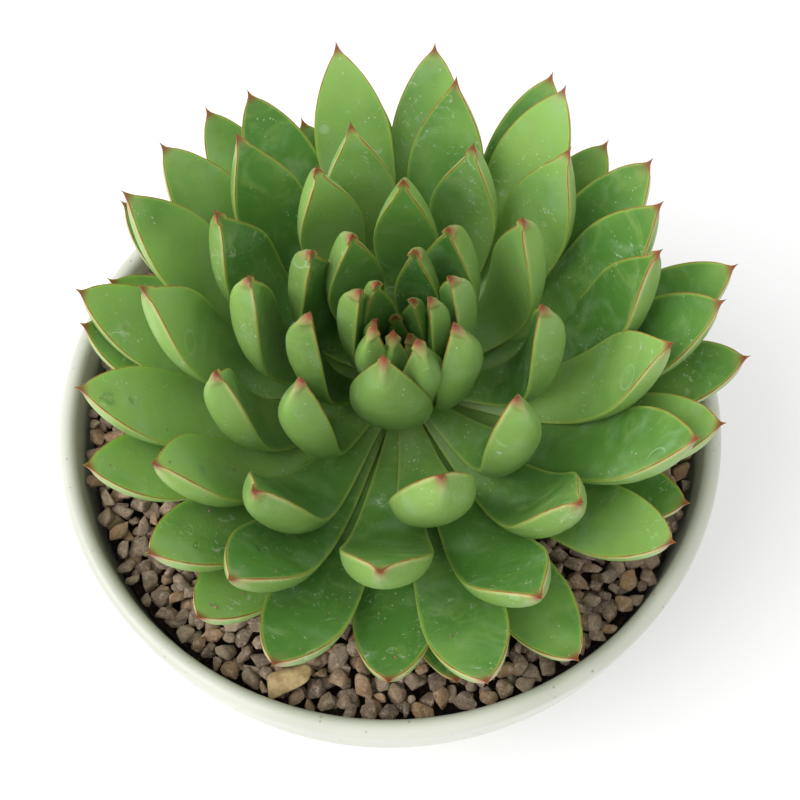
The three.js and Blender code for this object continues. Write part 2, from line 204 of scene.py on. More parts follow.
def make_bare_clay():
    clay = Finish("bare_clay")
    colour = clay.blend(clay.noise(300, 4), srgb(176, 158, 132), srgb(204, 190, 165))
    return clay.done(colour, 0.85, clay.bump(clay.noise(900, 3), 0.08))


glaze_finish = make_glaze()
clay_finish = make_bare_clay()
print("finishes:", glaze_finish.name, clay_finish.name)

# %% [markdown]
# ## Bowl
# The bowl is thrown on a wheel, so its whole shape is one profile turned round the middle: a flat
# foot, a curve that opens quickly, an upright collar, and a full round lip. The profile follows the
# CAD bowl, only with many more points. The lip of a hand-made bowl wanders by a few tenths of a
# millimetre, so each ring gets a slow wave.

# %% Bowl profile
pot_low, pot_high = (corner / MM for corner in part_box("pot"))
RIM_RADIUS = (pot_high.x - pot_low.x) / 2
POT_HEIGHT = pot_high.z
BASE_RADIUS = 44.0
WALL = 3.6
FLOOR = 5.0
COLLAR_FOOT = POT_HEIGHT - 10.0


def bowl_radius(z):
    share = min(1.0, max(0.0, z / COLLAR_FOOT))
    return mix(BASE_RADIUS, RIM_RADIUS, math.sin(share * math.pi / 2) ** 0.85)


def hollow_radius(z):
    slope = bowl_radius(z + 1) - bowl_radius(z)
    return bowl_radius(z) - WALL * math.hypot(1, slope)


def bowl_profile():
    rows = 26
    heights = [COLLAR_FOOT * (i / rows) ** 1.6 for i in range(rows + 1)]
    outside = [(bowl_radius(z), z) for z in heights]
    foot_round = 0.5
    outside[0] = (BASE_RADIUS - foot_round, 0.0)
    outside.insert(1, (BASE_RADIUS + 0.1, foot_round * 0.6))
    inner_heights = [mix(FLOOR, COLLAR_FOOT, (i / rows) ** 1.6) for i in range(rows + 1)]
    inside = [(hollow_radius(z), z) for z in inner_heights][::-1]
    lip_radius = WALL / 2
    lip = []
    for i in range(15):
        angle = math.pi * i / 14
        lip.append(
            (
                RIM_RADIUS - lip_radius + lip_radius * math.cos(angle),
                POT_HEIGHT - lip_radius + lip_radius * math.sin(angle),
            )
        )
    collar = [(RIM_RADIUS, z) for z in (COLLAR_FOOT + 2.5, COLLAR_FOOT + 5.5)]
    inner_collar = [(RIM_RADIUS - WALL, z) for z in (COLLAR_FOOT + 5.5, COLLAR_FOOT + 2.5)]
    recess = [(0.001, 0.9), (30.0, 0.9), (37.0, 0.8), (38.2, 0.0)]  # shallow foot ring
    return recess + outside + collar + lip + inner_collar + inside + [(0.001, FLOOR)]


profile = bowl_profile()
print("bowl profile:", len(profile), "points, rim radius", round(RIM_RADIUS, 1), "mm")


# %% Turn the bowl
def turn(rows, steps, wander=0.0):
    points, faces = [], []
    for radius, z in rows:
        for i in range(steps):
            angle = 2 * math.pi * i / steps
            wave = math.sin(2 * angle + 0.7) + 0.6 * math.sin(3 * angle + 2.1)
            near_lip = ease(20, POT_HEIGHT, z)
            r = radius + wander * wave * near_lip * (1 if radius > 1 else 0)
            height = z + 0.5 * wander * near_lip * math.sin(3 * angle + 1.2)
            points.append((r * math.cos(angle), r * math.sin(angle), height))
    for row in range(len(rows) - 1):
        for i in range(steps):
            j = (i + 1) % steps
            a, b = row * steps, (row + 1) * steps
            faces.append((a + i, a + j, b + j, b + i))
    return points, faces


def drill_drains(bowl, holes=5, radius=3.5, circle=22.0):
    """Five round holes through the foot, cut with one tool mesh."""
    tool_mesh = bpy.data.meshes.new("drain_drill")
    drill = bmesh.new()
    for i in range(holes):
        angle = 2 * math.pi * i / holes
        at = (circle * MM * math.cos(angle), circle * MM * math.sin(angle), FLOOR * MM / 2)
        bmesh.ops.create_cone(
            drill,
            cap_ends=True,
            segments=36,
            radius1=radius * MM,
            radius2=radius * MM,
            depth=3 * FLOOR * MM,
            matrix=Matrix.Translation(at),
        )
    drill.to_mesh(tool_mesh)
    drill.free()
    tool = bpy.data.objects.new("drain_drill", tool_mesh)
    bpy.context.scene.collection.objects.link(tool)
    cut = bowl.modifiers.new("drains", "BOOLEAN")
    cut.object, cut.operation, cut.solver = tool, "DIFFERENCE", "EXACT"
    bpy.context.view_layer.update()
    made = bpy.data.meshes.new_from_object(
        bowl.evaluated_get(bpy.context.evaluated_depsgraph_get())
    )
    bowl.modifiers.clear()
    bowl.data = made
    bpy.data.objects.remove(tool)


points, faces = turn(profile, 160, wander=0.12)
bowl = make_piece("pot_bowl", points, faces, glaze_finish, ["pot"])
welded = bmesh.new()
welded.from_mesh(bowl.data)
bmesh.ops.remove_doubles(welded, verts=welded.verts, dist=0.02 * MM)
bmesh.ops.recalc_face_normals(welded, faces=welded.faces)
welded.to_mesh(bowl.data)
welded.free()
drill_drains(bowl)
bowl.data.materials.append(clay_finish)
for face in bowl.data.polygons:
    face.material_index = 1 if face.center.z < 0.6 * MM and abs(face.normal.z) > 0.5 else 0
print("bowl:", len(bowl.data.polygons), "faces")

# %% [markdown]
# ## Potting mix
# The mix is hidden under the gravel and shows only as dark gaps between the grains and through the
# drainage holes. The CAD solid already has the right shape, so it stays and gets a finish of damp
# peat: almost black, crumbly, with paler fibres.


# %% Potting mix
def make_peat():
    peat = Finish("damp_potting_mix")
    crumbs = peat.noise(700, 5, 0.65)
    colour = peat.blend(peat.step(crumbs, 0.4, 0.7), srgb(30, 22, 17), srgb(74, 56, 42))
    fibres = peat.step(peat.cells(420), 0.08, 0.16, 1.0, 0.0)
    colour = peat.blend(peat.math("MULTIPLY", fibres, 0.6), colour, srgb(128, 104, 76))
    return peat.done(colour, 0.95, peat.bump(crumbs, 0.6))


peat_finish = make_peat()
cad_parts["potting_mix"].data.materials.clear()
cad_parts["potting_mix"].data.materials.append(peat_finish)
print("potting mix keeps its CAD shape")

# %% [markdown]
# ## Gravel
# The top dressing is crushed rock, broken into blunt-edged lumps of 3 to 6 mm. A lump is the
# hull of a few random points on a squashed ball, and a bevel then wears down its edges. A dozen such
# lumps, turned and scaled at random, are enough for the eye. They are laid by trying random places
# and keeping those that don't crowd a grain already there, in two layers so that the gaps between
# the upper grains show more stones and only then dark mix.


# %% Gravel finish
def make_lava():
    lava = Finish("crushed_lava_gravel")
    tone = lava.value("tone")
    colour = lava.blend(tone, srgb(104, 88, 74), srgb(154, 134, 114))
    colour = lava.blend(lava.step(lava.value("warm"), 0.55, 1.0), colour, srgb(150, 118, 86))
    grain = lava.noise(900, 5, 0.7)
    colour = lava.blend(lava.step(grain, 0.45, 0.7), colour, srgb(176, 156, 138))
    pores = lava.step(lava.noise(2300, 3, 0.6), 0.36, 0.46, 1.0, 0.0)
    colour = lava.blend(lava.math("MULTIPLY", pores, 0.45), colour, srgb(70, 56, 46))
    relief = lava.bump(lava.noise(1700, 4, 0.7), 0.12)
    return lava.done(colour, 0.92, relief)


lava_finish = make_lava()


# %% Shapes of single grains
def grain_shapes(count, seed):
    """Unit lumps: (points, faces) of a bevelled hull with its centre at the origin."""
    chance = random.Random(seed)
    shapes = []
    for _ in range(count):
        lump = bmesh.new()
        squash = Vector((1.0, chance.uniform(0.72, 0.95), chance.uniform(0.5, 0.8)))
        for _ in range(15):
            way = Vector([chance.gauss(0, 1) for _ in range(3)]).normalized()
            way *= chance.uniform(0.82, 1.08)
            lump.verts.new([a * b for a, b in zip(way, squash)])
        made = bmesh.ops.convex_hull(lump, input=lump.verts)
        loose = [g for g in made["geom_interior"] if isinstance(g, bmesh.types.BMVert)]
        bmesh.ops.delete(lump, geom=loose, context="VERTS")
        bmesh.ops.dissolve_limit(
            lump, angle_limit=math.radians(14), verts=lump.verts, edges=lump.edges
        )
        bmesh.ops.bevel(
            lump,
            geom=list(lump.edges),
            offset=0.24,
            segments=3,
            profile=0.5,
            affect="EDGES",
            clamp_overlap=True,
        )
        lump.verts.index_update()
        shapes.append(
            (
                np.array([v.co[:] for v in lump.verts]),
                [[v.index for v in face.verts] for face in lump.faces],
            )
        )
        lump.free()
    return shapes


lumps = grain_shapes(14, seed=11)
print("grain shapes:", len(lumps), "with", sum(len(s[0]) for s in lumps) // len(lumps), "points")


# %% Lay the grains
GRAVEL_TOP = 55.0
PLANT_X, PLANT_Y = 2.2, 0.5


def lay_grains(count, outer, inner, smallest, largest, level, seed):
    """Places and sizes of grains on a disc, with no two crowding each other."""
    chance = random.Random(seed)
    laid, bins, cell = [], {}, 2 * largest
    for attempt in range(count * 60):
        size = mix(largest, smallest, (attempt / (count * 60)) ** 0.5) * chance.uniform(0.9, 1.1)
        radius = (outer - 0.8 * size) * math.sqrt(chance.random())
        angle = chance.uniform(0, 2 * math.pi)
        x, y = radius * math.cos(angle), radius * math.sin(angle)
        if math.hypot(x - PLANT_X, y - PLANT_Y) < inner + size:
            continue
        key = (int(x // cell), int(y // cell))
        near = [
            other
            for i in (-1, 0, 1)
            for j in (-1, 0, 1)
            for other in bins.get((key[0] + i, key[1] + j), ())
        ]
        if any(math.hypot(x - o[0], y - o[1]) < 0.68 * (size + o[3]) for o in near):
            continue
        grain = (x, y, level - 0.55 * size + chance.uniform(-0.7, 0.5), size)
        laid.append(grain)
        bins.setdefault(key, []).append(grain)
        if len(laid) == count:
            break
    return laid


def gravel_mesh(grains, seed):
    chance = random.Random(seed)
    points, faces, tone, warm = [], [], [], []
    for x, y, z, size in grains:
        shape, sides = chance.choice(lumps)
        turn_by = Euler(
            (chance.gauss(0, 0.35), chance.gauss(0, 0.35), chance.uniform(0, 2 * math.pi))
        ).to_matrix()
        stretch = np.array([chance.uniform(1.0, 1.3), chance.uniform(0.85, 1.05), 0.95]) * size
        placed = (shape * stretch) @ np.array(turn_by).T + (x, y, z)
        start = len(points)
        points.extend(map(tuple, placed))
        faces.extend([start + i for i in side] for side in sides)
        tone.extend([chance.random()] * len(placed))
        warm.extend([chance.random()] * len(placed))
    return points, faces, {"tone": tone, "warm": warm}


inside_wall = hollow_radius(GRAVEL_TOP) - 0.2
upper_grains = lay_grains(1500, inside_wall, 8.5, 1.5, 2.8, GRAVEL_TOP + 0.9, seed=3)
lower_grains = lay_grains(900, inside_wall - 1, 8.5, 1.7, 2.6, GRAVEL_TOP - 0.8, seed=4)
points, faces, values = gravel_mesh(upper_grains + lower_grains, seed=5)
gravel = make_piece(
    "gravel_grains", points, faces, lava_finish, ["gravel"], values
)
print("gravel:", len(upper_grains), "upper and", len(lower_grains), "lower grains")

# %% [markdown]
# ## Leaf skin
# A leaf is green flesh under a thin waxy skin. Four things make it look alive. Light enters the
# flesh and comes out again, most of all at the thin margin, which glows yellow-green; that glow is
# also painted into the colour as a yellow-green band along the margin. The margin itself is a
# red-brown hairline that widens into the tip. The wax is rubbed and dusty in patches, so the gloss
# changes across the face. Dried water leaves pale specks and a few rings. The underside is paler,
# and it blushes towards the tip.

# %% Leaf finish
def make_leaf_skin(name, deep, bright, bloom_amount, cream):
    skin = Finish(name)
    edge, along, tip = skin.value("edge_mm"), skin.value("along"), skin.value("tip_mm")
    under, own = skin.value("under"), skin.value("own_tone")

    patches = skin.noise(38, 3, 0.55)
    colour = skin.blend(skin.step(skin.math("ADD", patches, own), 0.3, 0.75), deep, bright)
    streaks = skin.noise(95, 4, 0.65, warp=1.6)
    colour = skin.blend(skin.step(streaks, 0.5, 0.72, 0.0, 0.4), colour, srgb(146, 172, 92))
    pale_base = skin.step(along, 0.05, 0.45, 0.45, 0.0)
    colour = skin.blend(pale_base, colour, srgb(138, 168, 76))
    pale_under = skin.math("MULTIPLY", under, skin.step(along, 0.2, 0.8, 0.25, 0.6))
    colour = skin.blend(pale_under, colour, srgb(142, 172, 92))

    smudges = skin.step(skin.noise(120, 5, 0.62, warp=0.8), 0.46, 0.74)
    colour = skin.blend(
        skin.math("MULTIPLY", smudges, bloom_amount), colour, srgb(150, 182, 138)
    )
    specks = skin.math(
        "MULTIPLY",
        skin.step(skin.cells(900), 0.1, 0.2, 1.0, 0.0),
        skin.step(skin.noise(170, 3), 0.52, 0.66),
    )
    colour = skin.blend(skin.math("MULTIPLY", specks, 0.7), colour, srgb(214, 224, 202))

    off_ring = skin.math("ABSOLUTE", skin.math("SUBTRACT", skin.cells(85), 0.2))
    ring = skin.math(
        "MULTIPLY",
        skin.step(off_ring, 0.0, 0.028, 1.0, 0.0),
        skin.step(skin.noise(45, 1), 0.54, 0.6),
    )
    colour = skin.blend(skin.math("MULTIPLY", ring, 0.45), colour, srgb(180, 205, 170))

    scuffs = skin.math(
        "MULTIPLY",
        skin.step(skin.noise(330, 5, 0.72, warp=2.0), 0.56, 0.7),
        skin.step(skin.noise(70, 2), 0.5, 0.62),
    )
    colour = skin.blend(skin.math("MULTIPLY", scuffs, 0.65), colour, srgb(208, 216, 196))

    fray = skin.noise(420, 3)
    wavy_edge = skin.math("ADD", edge, skin.math("MULTIPLY", skin.math("SUBTRACT", fray, 0.5), 0.5))
    # painted light: this yellow-green band along the margin is the glow of light coming out through
    # the thin edge
    colour = skin.blend(skin.step(wavy_edge, 0.1, 0.9, 0.6, 0.0), colour, srgb(166, 186, 88))
    toward_tip = skin.step(along, 0.68, 0.92, 0.0, 1.0)
    cream_band = skin.math("MULTIPLY", skin.step(wavy_edge, 0.2, 1.2, cream, 0.0), toward_tip)
    cream_band = skin.math("MULTIPLY", cream_band, skin.step(under, 0.6, 0.9))
    colour = skin.blend(cream_band, colour, srgb(216, 190, 154))
    hairline = skin.math("MULTIPLY", skin.step(wavy_edge, 0.05, 0.35, 0.85, 0.0), toward_tip)
    colour = skin.blend(hairline, colour, srgb(150, 72, 52))
    blush = skin.math(
        "MULTIPLY",
        skin.step(skin.math("ADD", tip, skin.math("MULTIPLY", fray, 3.0)), 2.5, 7.5, 1.0, 0.0),
        skin.math("ADD", skin.math("MULTIPLY", under, 0.15), 0.2),
    )
    colour = skin.blend(blush, colour, srgb(184, 128, 96))
    colour = skin.blend(skin.step(tip, 1.2, 3.4, 1.0, 0.0), colour, srgb(134, 58, 48))
    colour = skin.blend(skin.step(tip, 0.2, 1.1, 1.0, 0.0), colour, srgb(74, 44, 34))

    roughness = skin.step(skin.math("ADD", smudges, specks), 0.0, 1.2, 0.36, 0.62)
    skin_grain = skin.bump(skin.noise(1500, 3, 0.6), 0.03)
    relief = skin.bump(skin.noise(150, 3), 0.25, skin_grain)
    return skin.done(
        colour,
        roughness,
        relief,
        Subsurface_Weight=0.22,
        Subsurface_Radius=(0.5, 1.0, 0.2),
        Subsurface_Scale=0.0035,
        Specular_IOR_Level=0.45,
    )


leaf_finish = make_leaf_skin("leaf_skin", srgb(86, 134, 58), srgb(146, 186, 98), 0.36, 0.4)
heart_finish = make_leaf_skin("heart_leaf_skin", srgb(62, 110, 44), srgb(114, 162, 76), 0.28, 0.05)
print("finishes:", leaf_finish.name, heart_finish.name)

# %% [markdown]
# ## Rosette
# A rosette grows by one simple rule: each new leaf stands a golden angle further round the stem, and
# everything else about it follows from its age. The table holds the shape of a leaf at eight ages,
# and a leaf in between is a mix of its neighbours. The CAD leaves are made from the same table, so
# each fine leaf lands on its plain one, within a millimetre or two at its end, which is shaped more
# closely here. A few leaves have strayed, as on any real plant, and have a habit of their own.

# %% How leaves change with age
ROSETTE_RADIUS, ROSETTE_HEIGHT = 62.0, 53.0
ROSETTE_TILT, ROSETTE_SIDE_TILT = 6.5, -2.0
ROSETTE_LIFT = 3.0
DIVERGENCE, FIRST_AZIMUTH = 137.6, 129.4
OLDEST_AGE, FIRST_OPEN_AGE, YOUNGEST_BUD = 80, 17, -5
LOST_AGES = (12, 20, 22, 46, 51, 70, 74, 75, 78, 79)
STEM_RADIUS, STEM_TIP_RADIUS, STEM_RISE = 9.0, 1.0, 16.0

# age: reach, rise, width, thickness, belly, then the two points that bend the midrib, each as
# shares of the way out and of the way up from its foot to its tip
GROWTH = {
    -6: (0.03, 0.7, 4.2, 2, 0.5, 1.2, -0.2, 1.13, 0.41),
    0: (0.078, 0.95, 8, 3.6, 0.52, 1.2, -0.2, 1.13, 0.41),
    8: (0.19, 1, 12.6, 5.4, 0.55, 1.3, -0.2, 0.99, 0.45),
    18: (0.41, 1, 13.6, 6.2, 0.6, 1.4, -0.2, 0.84, 0.5),
    30: (0.7, 0.92, 16, 6.2, 0.69, 1.0, -0.15, 0.74, 0.6),
    45: (0.94, 0.84, 16.6, 5.8, 0.72, 0.7, -0.1, 0.72, 0.6),
    62: (1, 0.66, 16.2, 5.4, 0.73, 0.56, 0.05, 0.74, 0.5),
    85: (1, 0.24, 15, 4.8, 0.73, 0.47, 0.22, 0.78, 0.4),
}
BROAD = {7: 1.35, 25: 1.1, 33: 1.08}  # a few leaves have grown wider than their neighbours
HABIT = {  # age: turned round the stem in degrees, tip further out and higher in millimetres
    1: (18, 0, 0), 2: (20, -1, 0), 3: (-6, 2, 1), 5: (0, -3, -1), 7: (16, 0, 0),
    8: (15, 2, 0), 9: (3, -2, 0), 13: (7, -1, -2), 14: (-6, 5, 0), 17: (9, 3, 0),
    25: (-4, -4, 0), 27: (-2, 8, 2), 29: (5, -2, -2), 30: (-8, 3, -3), 31: (-6, 0, 3),
    38: (-4, 4, -1), 39: (-6, 2, 4), 41: (-6, 0, 0), 42: (-7, 2, 3), 43: (4, 0, 1),
    50: (-5, 2, 0), 54: (-6, 3, 0), 58: (-6, 4, 0), 59: (-6, 3, 0), 61: (-2, 4, 0),
    65: (-7, -2, 3), 68: (-4, 4, 4), 69: (4, 4, 3), 72: (-2, 4, 0),
}  # fmt: skip


def grown(age):
    ages = sorted(GROWTH)
    older = next((a for a in ages[1:] if age <= a), ages[-1])
    younger = ages[ages.index(older) - 1]
    share = (age - younger) / (older - younger)
    return [mix(a, b, share) for a, b in zip(GROWTH[younger], GROWTH[older])]


rosette_to_pot = (
    Matrix.Translation((PLANT_X, PLANT_Y, GRAVEL_TOP + ROSETTE_LIFT))
    @ Matrix.Rotation(math.radians(ROSETTE_TILT), 4, "X")
    @ Matrix.Rotation(math.radians(ROSETTE_SIDE_TILT), 4, "Y")
)
print("leaf of age 30:", [round(v, 2) for v in grown(30)])

# %% [markdown]
# ## One leaf
# A leaf is a section carried along a bowed midrib. The section is a lens with a crisp margin: nearly
# flat or a little hollow above, full and keeled below. Its outline starts in a narrow neck, swells
# to the belly, and closes in a pointed arch that ends in a short spur. Building it ring by ring
# in code, and not sculpting it, lets the margin stay sharp and gives every point its distance from
# the margin and the tip, which the skin needs.


# %% Midrib and section of a leaf
HALF_GROWN, GROWN_UP = 24, 50  # ages between which a leaf gets its full end
YOUNG_ARCH, OLD_ARCH = 1.05, 0.66  # how pointed the end is: lower is rounder
CURL_FROM, END_CURL = 0.8, 1.3  # the last fifth of an old leaf turns up
SPUR = 1.7  # length of the spur
SIDE_BULGE = 0.2  # the flesh swells a little past the margin, under it


class LeafForm:
    def __init__(self, age):
        self.age = age
        reach, rise, width, self.thickness, self.belly, out_1, up_1, out_2, up_2 = grown(age)
        self.width = width * BROAD.get(age, 1.0)
        turned, out, up = HABIT.get(age, (0, 0, 0))
        share = min(1.0, max(0.0, age / OLDEST_AGE))
        stem_radius = mix(STEM_TIP_RADIUS, STEM_RADIUS, share**0.55)
        foot = np.array([0.6 * stem_radius, STEM_RISE * (1 - share)])
        tip = np.array([reach * ROSETTE_RADIUS + out, rise * ROSETTE_HEIGHT + up])
        bends = foot + (tip - foot) * [[out_1, up_1], [out_2, up_2]]
        fullness = ease(HALF_GROWN, GROWN_UP, age)
        self.arch = mix(YOUNG_ARCH, OLD_ARCH, fullness)
        self.curl = END_CURL * fullness
        outward = (tip - bends[1]) / np.linalg.norm(tip - bends[1])
        face_up = np.array([-outward[1], outward[0]])
        self.trace(foot, *bends, tip - 0.8 * SPUR * outward - self.curl * face_up)
        self.azimuth = math.radians(FIRST_AZIMUTH - age * DIVERGENCE + turned)
        chance = random.Random(1000 + age)
        self.lean = chance.uniform(-1, 1)  # one half of the blade a little wider
        self.sway = chance.uniform(-1, 1)  # the midrib curves a little sideways
        self.ripple = [chance.uniform(0, 2 * math.pi) for _ in range(4)]

    def trace(self, foot, bend_1, bend_2, tip, steps=120):
        """Points and directions of the midrib at even steps of its length."""
        t = np.linspace(0, 1, steps + 1)[:, None]
        line = (1 - t) ** 3 * foot + 3 * t * (1 - t) ** 2 * bend_1
        line = line + 3 * t * t * (1 - t) * bend_2 + t**3 * tip
        run = np.concatenate([[0], np.cumsum(np.linalg.norm(np.diff(line, axis=0), axis=1))])
        self.length = float(run[-1])
        even = np.linspace(0, run[-1], steps + 1)
        self.line = np.stack([np.interp(even, run, line[:, i]) for i in (0, 1)], axis=1)
        way = np.gradient(self.line, axis=0)
        self.way = way / np.linalg.norm(way, axis=1)[:, None]

    def along(self, table, u):
        at = min(max(u, 0.0), 1.0) * (len(table) - 1)
        i = min(int(at), len(table) - 2)
        return table[i] + (table[i + 1] - table[i]) * (at - i)

    def midrib(self, u):
        """The line between the margins, which turns up at the end and runs on into the spur."""
        way = self.direction(u)
        turned_up = self.curl * max(0.0, (u - CURL_FROM) / (1 - CURL_FROM)) ** 2
        beyond = max(0.0, u - 1) * self.length
        return self.along(self.line, u) + way * beyond + np.array([-way[1], way[0]]) * turned_up

    def spur(self, u):
        """Half width of the spur, which grows out of the blade a little before its end."""
        left = max(0.0, (1 - u) * self.length + SPUR)
        return 0.55 * (left / SPUR) ** 1.4 if left < 2 * SPUR else 0.0

    def direction(self, u):
        return self.along(self.way, u)

    def width_share(self, u):
        if u < self.belly:
            return mix(0.2, 1.0, math.sin(u / self.belly * math.pi / 2) ** 1.5)
        v = min(1.0, (u - self.belly) / (1 - self.belly))
        return max(0.0, math.cos(v * math.pi / 2)) ** self.arch

    def thickness_share(self, u):
        fullest = 0.66
        if u < fullest:
            return mix(0.2, 1.0, math.sin(u / fullest * math.pi / 2))
        v = min(1.0, (u - fullest) / (1 - fullest))
        return (1 - v**3.2) ** 0.65

    def section(self, u, s, side):
        """Across and up, at a share s from -1 to 1 of the half width, above or below."""
        half = 0.97 * self.width / 2 * self.width_share(u)
        half *= 1 + 0.035 * self.lean * math.copysign(1, s) * abs(s)
        wave = math.sin(9 * u + self.ripple[0 if s > 0 else 1])
        half += 0.12 * wave * ease(0.1, 0.5, u) * ease(1.0, 0.9, u)
        half = max(half, self.spur(u))
        deep = max(self.thickness * self.thickness_share(u), 1.2 * self.spur(u))
        crown = deep * mix(0.42, -0.06, min(1.0, u / 0.7))
        keel = deep - crown
        round_off = 1 - s * s
        if side > 0:
            return s * half, crown * round_off
        return s * half * (1 + SIDE_BULGE * round_off), -keel * round_off**0.6

    def point(self, u, s, side):
        across, up = self.section(u, s, side)
        across += 0.6 * self.sway * math.sin(math.pi * u)
        centre, along = self.midrib(u), self.direction(u)
        flat = centre + up * np.array([-along[1], along[0]])
        cos, sin = math.cos(self.azimuth), math.sin(self.azimuth)
        local = Vector(
            (flat[0] * cos - across * sin, flat[0] * sin + across * cos, flat[1])
        )
        return rosette_to_pot @ local


sample = LeafForm(30)
print("leaf of age 30 is", round(sample.length, 1), "mm long")


# %% Mesh of a leaf
def leaf_mesh(form, rings=40, half_ring=18):
    """Points, faces and skin values of a leaf. Rings crowd towards the tip, points to the margin."""
    end = 1 + SPUR / form.length
    stations = [end * mix(i / rings, math.sin(i / rings * math.pi / 2), 0.6) for i in range(rings)]
    upper = [math.cos(math.pi * i / half_ring) for i in range(half_ring + 1)]
    ring = [(s, 1) for s in upper] + [(-s, -1) for s in upper[1:-1]]
    points = [form.point(0, 0, 1)]
    marks = [(0.0, 0.0, form.length, 0.0)]
    for u in stations:
        for s, side in ring:
            points.append(form.point(u, s, side))
            edge = math.dist(form.section(u, s, side), form.section(u, math.copysign(1, s), 1))
            to_tip = (end - u) * form.length
            marks.append((edge, u, to_tip, 0.5 if abs(s) > 0.999 else (1 - side) / 2))
    points.append(form.point(end, 0, 1))
    marks.append((0.0, 1.0, 0.0, 0.5))
    n, last = len(ring), len(points) - 1
    faces = []
    for i in range(n):
        j = (i + 1) % n
        faces.append((0, 1 + j, 1 + i))
        faces.append((last, last - n + i, last - n + j))
        for r in range(rings - 1):
            a, b = 1 + r * n, 1 + (r + 1) * n
            faces.append((a + i, a + j, b + j, b + i))
    edge, along, tip, under = zip(*marks)
    tone = random.Random(2000 + form.age).uniform(-0.22, 0.2)
    values = {
        "edge_mm": edge,
        "along": along,
        "tip_mm": tip,
        "under": under,
        "own_tone": [tone] * len(points),
    }
    return points, faces, values


# %% Grow the leaves
number = 0
leaves = {}
for age in range(YOUNGEST_BUD, OLDEST_AGE + 1):
    if age in LOST_AGES:
        continue
    form = LeafForm(age)
    points, faces, values = leaf_mesh(form)
    if age < FIRST_OPEN_AGE:
        name, node = f"heart_leaf_{age - YOUNGEST_BUD + 1:02d}", "heart"
        leaves[age] = make_piece(
            name, points, faces, heart_finish, [node], values
        )
    else:
        number += 1
        name, node = f"rosette_leaf_{number:02d}", f"leaf_{number:02d}"
        leaves[age] = make_piece(name, points, faces, leaf_finish, [node], values)
print("leaves:", len(leaves), "of which open:", number)

# %% [markdown]
# ## Water drops and grit
# Watering leaves a few round drops standing on the waxy skin and kicks crumbs of gravel onto the
# lower leaves. A drop on wax stands up as a high dome with a rim pulled in under it, so it is built
# as rings that follow that profile, laid on the leaf's own surface. The crumbs are the gravel's own
# lumps, much smaller. One flat chip of another stone lies on the gravel in front.


# %% Drops on the leaves
def make_water():
    water = Finish("standing_water")
    clear = water.blend(water.noise(200, 1), (0.93, 0.97, 0.95, 1), (1, 1, 1, 1))
    swell = water.bump(water.noise(300, 1), 0.02)
    return water.done(clear, 0.03, swell, Transmission_Weight=1.0, IOR=1.33)


DROPS = [  # age of the leaf, share of its length, share of its half width, drop radius in mm
    (65, 0.9, -0.35, 1.1), (44, 0.92, 0.2, 1.25), (44, 0.84, 0.05, 0.6), (57, 0.75, 0.2, 1.1),
    (41, 0.77, -0.2, 1.0), (49, 0.85, 0.3, 0.9), (62, 0.87, 0.4, 0.8), (64, 0.7, 0.0, 0.7),
    (57, 0.62, -0.3, 0.6), (36, 0.8, 0.1, 0.7), (59, 0.66, -0.2, 0.6), (67, 0.8, 0.25, 0.7),
]  # fmt: skip


def leaf_seat(age, u, s):
    """A point on the upper face of a leaf, and the way its skin faces there."""
    form = LeafForm(age)
    here = form.point(u, s, 1)
    way_along = form.point(u + 0.02, s, 1) - here
    way_across = form.point(u, s + 0.05, 1) - here
    facing = way_along.cross(way_across).normalized()
    return here, facing if facing.z > 0 else -facing


def drop_mesh(seats, sides=20, rings=7):
    points, faces = [], []
    for age, u, s, radius in seats:
        seat, facing = leaf_seat(age, u, s)
        across = facing.orthogonal().normalized()
        aside = facing.cross(across)
        start = len(points)
        for ring in range(rings):
            angle = mix(-0.35, 0.47 * math.pi, ring / (rings - 1))
            for i in range(sides):
                turn_by = 2 * math.pi * i / sides
                wobble = 1 + 0.06 * math.sin(2 * turn_by + age) + 0.04 * math.sin(3 * turn_by)
                out = radius * math.cos(angle) * wobble
                up = 0.62 * radius * (math.sin(angle) + 0.25)
                points.append(
                    seat
                    + out * (math.cos(turn_by) * across + math.sin(turn_by) * aside)
                    + up * facing
                )
        for ring in range(rings - 1):
            for i in range(sides):
                j = (i + 1) % sides
                a, b = start + ring * sides, start + (ring + 1) * sides
                faces.append((a + i, a + j, b + j, b + i))
        faces.append([start + i for i in reversed(range(sides))])
        faces.append([start + (rings - 1) * sides + i for i in range(sides)])
    return points, faces


points, faces = drop_mesh(DROPS)
drops = make_piece("water_drops", points, faces, make_water())
drops.visible_shadow = False  # real water lets light through to the leaf below it
print("water drops:", len(DROPS))

# %% Crumbs on the leaves and the chip
CRUMB_AGES = (36, 41, 44, 49, 52, 54, 57, 59, 62, 64, 65, 67, 72)
chance = random.Random(21)
crumbs = []
for age in CRUMB_AGES:
    for _ in range(chance.randint(2, 5)):
        size = chance.uniform(0.18, 0.42)
        seat, facing = leaf_seat(age, chance.uniform(0.55, 0.95), chance.uniform(-0.7, 0.7))
        crumbs.append((*(seat + 0.4 * size * facing), size))
points, faces, values = gravel_mesh(crumbs, seed=22)
make_piece("leaf_crumbs", points, faces, lava_finish, (), values)


def make_chip_stone():
    stone = Finish("ochre_stone")
    layers = stone.noise(420, 4, 0.6)
    colour = stone.blend(stone.step(layers, 0.35, 0.65), srgb(150, 124, 84), srgb(186, 162, 118))
    return stone.done(colour, 0.8, stone.bump(layers, 0.2))


chip_shape, chip_sides = lumps[4]
chip_turn = np.array(Euler((0.12, -0.1, 0.35)).to_matrix())
chip = (chip_shape * (6.2, 4.2, 2.2)) @ chip_turn.T + (-18.8, -60.2, GRAVEL_TOP + 1.9)
make_piece("ochre_chip", list(map(tuple, chip)), chip_sides, make_chip_stone())
print("crumbs:", len(crumbs), "and one chip")

